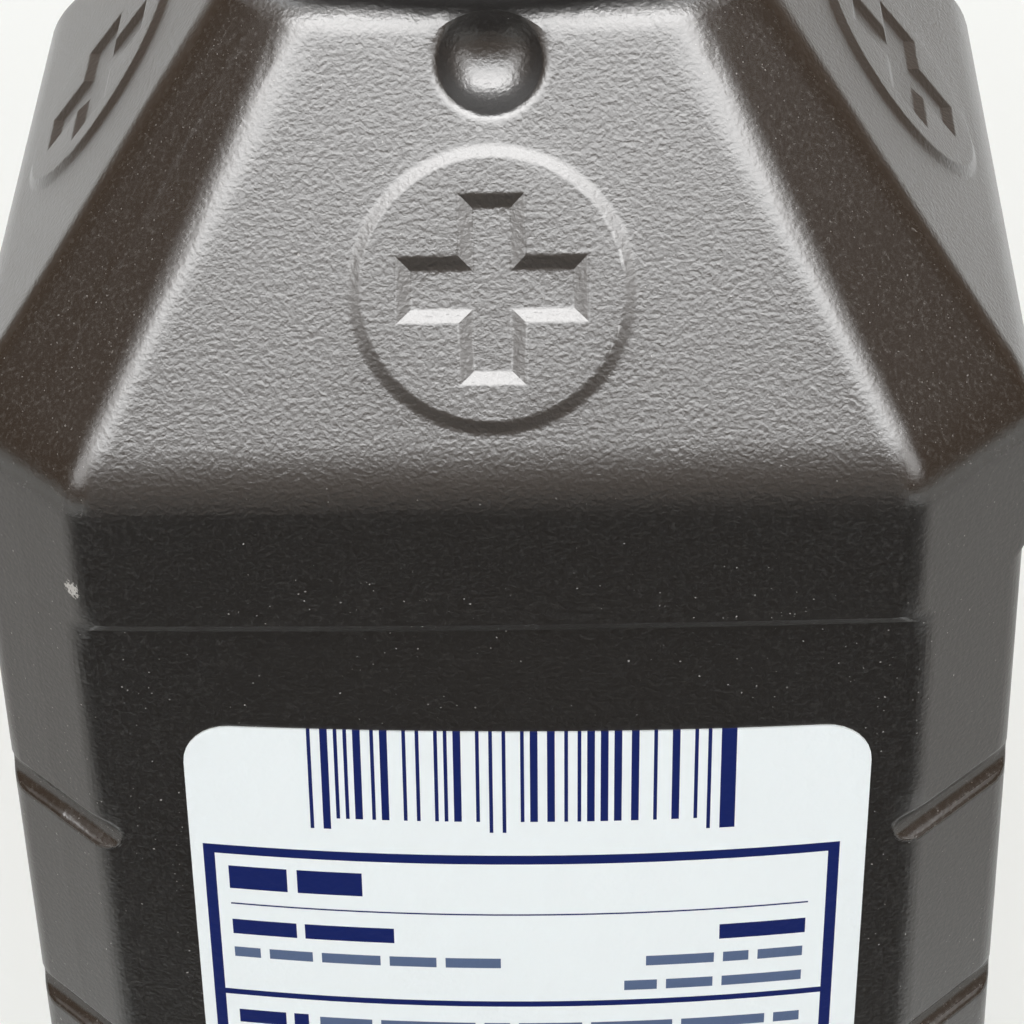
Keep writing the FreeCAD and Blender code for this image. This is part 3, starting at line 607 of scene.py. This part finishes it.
def word_runs(chance, left, right, longest=LONGEST_RUN):
    """Runs as long as words, with gaps between them."""
    runs = []
    place = left
    while place < right - LEAST_ROOM:
        end = min(place + chance.uniform(SHORTEST_RUN, longest), right)
        runs.append((place, end))
        place = end + RUN_GAP
    return runs


def finish_sheet(shape, name, node, shift, lean, side):
    """Thickness for a printed sheet, and its place on the crowned panel that faces a side."""
    front = bmesh.ops.extrude_face_region(shape, geom=shape.faces[:])
    for vert in (item for item in front["geom"] if isinstance(item, bmesh.types.BMVert)):
        vert.co.z += LABEL_THICK
    bmesh.ops.recalc_face_normals(shape, faces=shape.faces)
    turn = Matrix.Rotation(lean, 4, "Y")
    about = Matrix.Rotation(side, 4, "Z")
    for vert in shape.verts:
        flat = turn @ Vector((vert.co.x, 0, vert.co.y)) + Vector((shift, 0, LABEL_MIDDLE))
        out = PANEL_FACE + crown(flat.x, flat.z) + vert.co.z
        vert.co = about @ Vector((flat.x, -out, flat.z))
    make_piece(name, shape, "bottle", PRINT, node)


def facts_sheet():
    """White sheet with a strip of bars, a ruled frame and rows of plain runs in place of words."""
    shape = new_sheet()
    chance = random.Random(FACTS_SEED)
    bars = []
    place, bars_end = BAR_SPAN
    while place < bars_end:
        width = chance.choice(BAR_WIDTHS)
        bars.append((place, place + width))
        place += width + chance.choice(BAR_GAPS)
    half = len(bars) // 2
    print_row(shape, 0.0, BAR_FOOT, bars)
    print_row(shape, BAR_FOOT, GUARD_FOOT, bars[:2] + bars[half - 1:half + 1] + bars[-2:])
    sides = [FRAME_LEFT, FRAME_RIGHT]
    for top, bottom in (FRAME_TOP, FRAME_FOOT):
        print_row(shape, top, bottom, [(FRAME_LEFT[0], FRAME_RIGHT[1])])
    print_row(shape, FRAME_TOP[1], FRAME_FOOT[0], sides)
    for top, bottom, runs in HEAD_ROWS:
        print_row(shape, top, bottom, [*runs, *sides])
    first = word_runs(chance, TEXT_LEFT, PAIR_LEFT_END)
    last = word_runs(chance, PAIR_RIGHT_START, TEXT_RIGHT)
    print_row(shape, *PAIR_ROW, first + last, TINT_SLOT)
    print_row(shape, *SINGLE_ROW, word_runs(chance, SINGLE_START, TEXT_RIGHT), TINT_SLOT)
    row = SECTION_TOP
    for count in SECTION_LINES:
        rule = [(FRAME_LEFT[1], FRAME_RIGHT[0]), *sides]
        print_row(shape, row - RULE_ABOVE_SECTION[0], row - RULE_ABOVE_SECTION[1], rule)
        print_row(shape, row, row + HEADING_HEIGHT, HEADING_RUNS)
        for line in range(count):
            left = FIRST_LINE_LEFT if line == 0 else TEXT_LEFT
            right = TEXT_RIGHT if line < count - 1 else chance.uniform(*LAST_LINE_ENDS)
            runs = word_runs(chance, left, right)
            print_row(shape, row + LINE_BAND[0], row + LINE_BAND[1], runs, TINT_SLOT)
            row += LINE_PITCH
        row += SECTION_GAP
    finish_sheet(shape, "facts_sheet", "facts_label", LABEL_SHIFT, LABEL_LEAN, 0.0)


def main_sheet():
    """Plain sheet with a dark band, a tinted panel and a few runs in place of words."""
    shape = new_sheet()
    chance = random.Random(MAIN_SEED)
    print_row(shape, *HEAD_BAND, [FULL_WIDTH])
    print_row(shape, *HEAD_RULE, [FULL_WIDTH], TINT_SLOT)
    for top, left, right in TITLE_ROWS:
        print_row(shape, top, top + TITLE_HEIGHT, word_runs(chance, left, right, TITLE_WORD))
    for line in range(BODY_LINES):
        top = BODY_TOP + BODY_PITCH * line
        print_row(shape, top, top + BODY_HEIGHT, word_runs(chance, *BODY_SPAN), TINT_SLOT)
    print_row(shape, *TINT_BLOCK, [TINT_SPAN], TINT_SLOT)
    print_row(shape, *SMALL_ROW, word_runs(chance, *SMALL_SPAN, SMALL_WORD))
    print_row(shape, *FOOT_BAND, [FULL_WIDTH])
    finish_sheet(shape, "main_sheet", "main_label", 0.0, 0.0, math.pi)


bottle_shell()
facts_sheet()
main_sheet()


# Finishes of the CAD nodes that stay as they are

def cap_finish():
    """White moulded polypropylene with a satin skin."""
    material, tree, shader, coords = new_finish("cap_plastic", CAP_WHITE, Roughness=0.38)
    fine = place_group(tree, PEEL, coords, Ripples_per_metre=1600.0, Upright_squeeze=1.0)
    add_bump(tree, shader, (fine, "Height"), distance=0.012 * MM)
    dust = place_group(tree, SPECKS, coords, Per_metre=900.0, Size=0.08, Spread=0.8, Draw_out=1.0, Turn=0.0)
    join(tree, mix_colour(tree, (dust, "Mask"), CAP_WHITE, DUST_GREY), shader, "Base Color")
    return material


def foil_finish():
    """Satin foil laminate with fine creases."""
    values = {"Roughness": 0.32, "Metallic": 1.0}
    material, tree, shader, coords = new_finish("seal_foil", FOIL_SILVER, **values)
    crease = place_group(tree, PEEL, coords, Ripples_per_metre=260.0, Upright_squeeze=1.0)
    add_bump(tree, shader, (crease, "Height"), distance=0.25 * MM)
    return material


def board_finish():
    """Pressed pulp board with short fibres."""
    material, tree, shader, coords = new_finish("liner_board", BOARD_BUFF, Roughness=0.85)
    fibre = place_group(
        tree, SPECKS, coords, Per_metre=1200.0, Size=0.2, Spread=6.0, Draw_out=0.15, Turn=0.9
    )
    join(tree, mix_colour(tree, (fibre, "Mask"), BOARD_BUFF, FIBRE_BROWN), shader, "Base Color")
    felt = place_group(tree, PEEL, coords, Ripples_per_metre=1800.0, Upright_squeeze=1.0)
    add_bump(tree, shader, (felt, "Height"), distance=0.05 * MM)
    return material


def liquid_finish():
    """Clear watery solution."""
    values = {"Roughness": 0.02, "IOR": 1.34, "Transmission_Weight": 1.0}
    material, tree, shader, coords = new_finish("clear_solution", WATER_CLEAR, **values)
    ripple = place_group(tree, PEEL, coords, Ripples_per_metre=60.0, Upright_squeeze=1.0)
    add_bump(tree, shader, (ripple, "Height"), distance=0.02 * MM)
    return material


for node, finish in (
    ("screw_cap", cap_finish()),
    ("foil_seal", foil_finish()),
    ("cap_liner", board_finish()),
    ("solution", liquid_finish()),
):
    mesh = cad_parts[node].data
    mesh.materials.clear()
    mesh.materials.append(finish)


# Stage, light and camera

def stage_plane(name, middle, size, colour, card=False):
    """Flat stage surface, centred on a point; a card is a sheet of painted shade, seen only in reflections.
    """
    shape = bmesh.new()
    bmesh.ops.create_grid(shape, x_segments=1, y_segments=1, size=0.5)
    bmesh.ops.scale(shape, verts=shape.verts, vec=(*size, 1))
    bmesh.ops.translate(shape, verts=shape.verts, vec=middle)
    mesh = bpy.data.meshes.new(name)
    shape.to_mesh(mesh)
    shape.free()
    material, *_ = new_finish(f"{name}_finish", colour, Roughness=0.9, Specular_IOR_Level=0.2)
    mesh.materials.append(material)
    plane = bpy.data.objects.new(name, mesh)
    bpy.context.scene.collection.objects.link(plane)
    # A card is painted shade: hidden from the camera, from diffuse light and from shadows, it only darkens
    # reflections
    if card:
        plane.visible_camera = False
        plane.visible_diffuse = False
        plane.visible_shadow = False


def make_light(name, place, aim, width, height, power, lights=True, mirrored=True, colour=(1, 1, 1)):
    """Softbox, which may light surfaces, be mirrored in them, or both."""
    lamp = bpy.data.lights.new(name, "AREA")
    lamp.shape = "RECTANGLE"
    lamp.size = width
    lamp.size_y = height
    lamp.energy = power
    lamp.color = colour
    light = bpy.data.objects.new(name, lamp)
    light.location = place
    light.rotation_euler = (Vector(aim) - Vector(place)).to_track_quat("-Z", "Y").to_euler()
    light.visible_camera = False
    light.visible_diffuse = lights
    light.visible_glossy = mirrored
    bpy.context.scene.collection.objects.link(light)


def make_camera():
    """Camera above the front."""
    lens = bpy.data.cameras.new("camera")
    lens.sensor_width = SENSOR
    lens.lens = LENS
    lens.clip_start = 0.01
    camera = bpy.data.objects.new("camera", lens)
    turn = Matrix((CAMERA_RIGHT, CAMERA_UP, CAMERA_BACK)).transposed().to_4x4()
    camera.matrix_world = Matrix.Translation(CAMERA_PLACE) @ turn
    bpy.context.scene.collection.objects.link(camera)
    bpy.context.scene.camera = camera


def make_world(colour, strength):
    """Even warm light of the room."""
    world = bpy.data.worlds.new("studio")
    world.use_nodes = True
    fill(world.node_tree.nodes["Background"], Color=(*colour, 1.0), Strength=strength)
    bpy.context.scene.world = world


stage_plane("floor", (0, 0, 0), (6, 6), FLOOR_PALE)
# Painted shadow: black sheet on the floor in front, seen only in reflections, darkens what the front panel
# mirrors in place of shade on the floor
stage_plane("painted_shadow_card", (0, -0.49, 0.002), (0.52, 0.82), PAINTED_SHADOW_BLACK, card=True)
for side in (-1, 1):
    # Painted shade: grey sheets on the floor either side, seen only in reflections, darken the floor that
    # the corners mirror
    stage_plane(f"grey_card_{side}", (0.27 * side, -0.02, 0.001), (0.3, 0.36), PAINTED_SHADE_GREY, card=True)
    make_light(
        f"pale_card_{side}", (0.28 * side, 0.45, 0.003), aim=(0.28 * side, 0.45, 1),
        width=0.4, height=0.5, power=0.4, lights=False,
    )
    make_light(
        f"side_card_{side}", (1.4 * side, -0.92, 1.05), aim=(0, 0, 0.14),
        width=0.8, height=1.2, power=7.5, lights=False,
    )
# Cards in a row overhead that only reflections show: name, place along Y, height, width, depth and power
for name, along_y, up, width, height, power in (
    ("overhead_card", -0.24, 1.04, 1.7, 0.64, 23.5),
    ("top_card", 0.02, 1.03, 1.0, 0.36, 6.5),
    ("front_card", -0.76, 1.04, 1.7, 0.4, 9.5),
):
    make_light(name, (0, along_y, up), (0, along_y, 0), width, height, power, lights=False)
make_light(
    "front_softbox", (0, -0.76, 1.05), aim=(0, -0.76, 0),
    width=1.7, height=0.4, power=4.2, colour=DAYLIGHT,
)
make_light(
    "front_fill", (0, -1.2, 0.7), aim=(0, 0, 0.09),
    width=1.0, height=0.6, power=10.5, mirrored=False, colour=DAYLIGHT,
)
make_light(
    "backdrop_light", (0, 1.1, 1.2), aim=(0, 1.0, 0),
    width=1.2, height=0.8, power=22.0, colour=DAYLIGHT,
)
make_world(ROOM_LIGHT, ROOM_STRENGTH)
make_camera()
bpy.context.scene.view_settings.view_transform = "Standard"
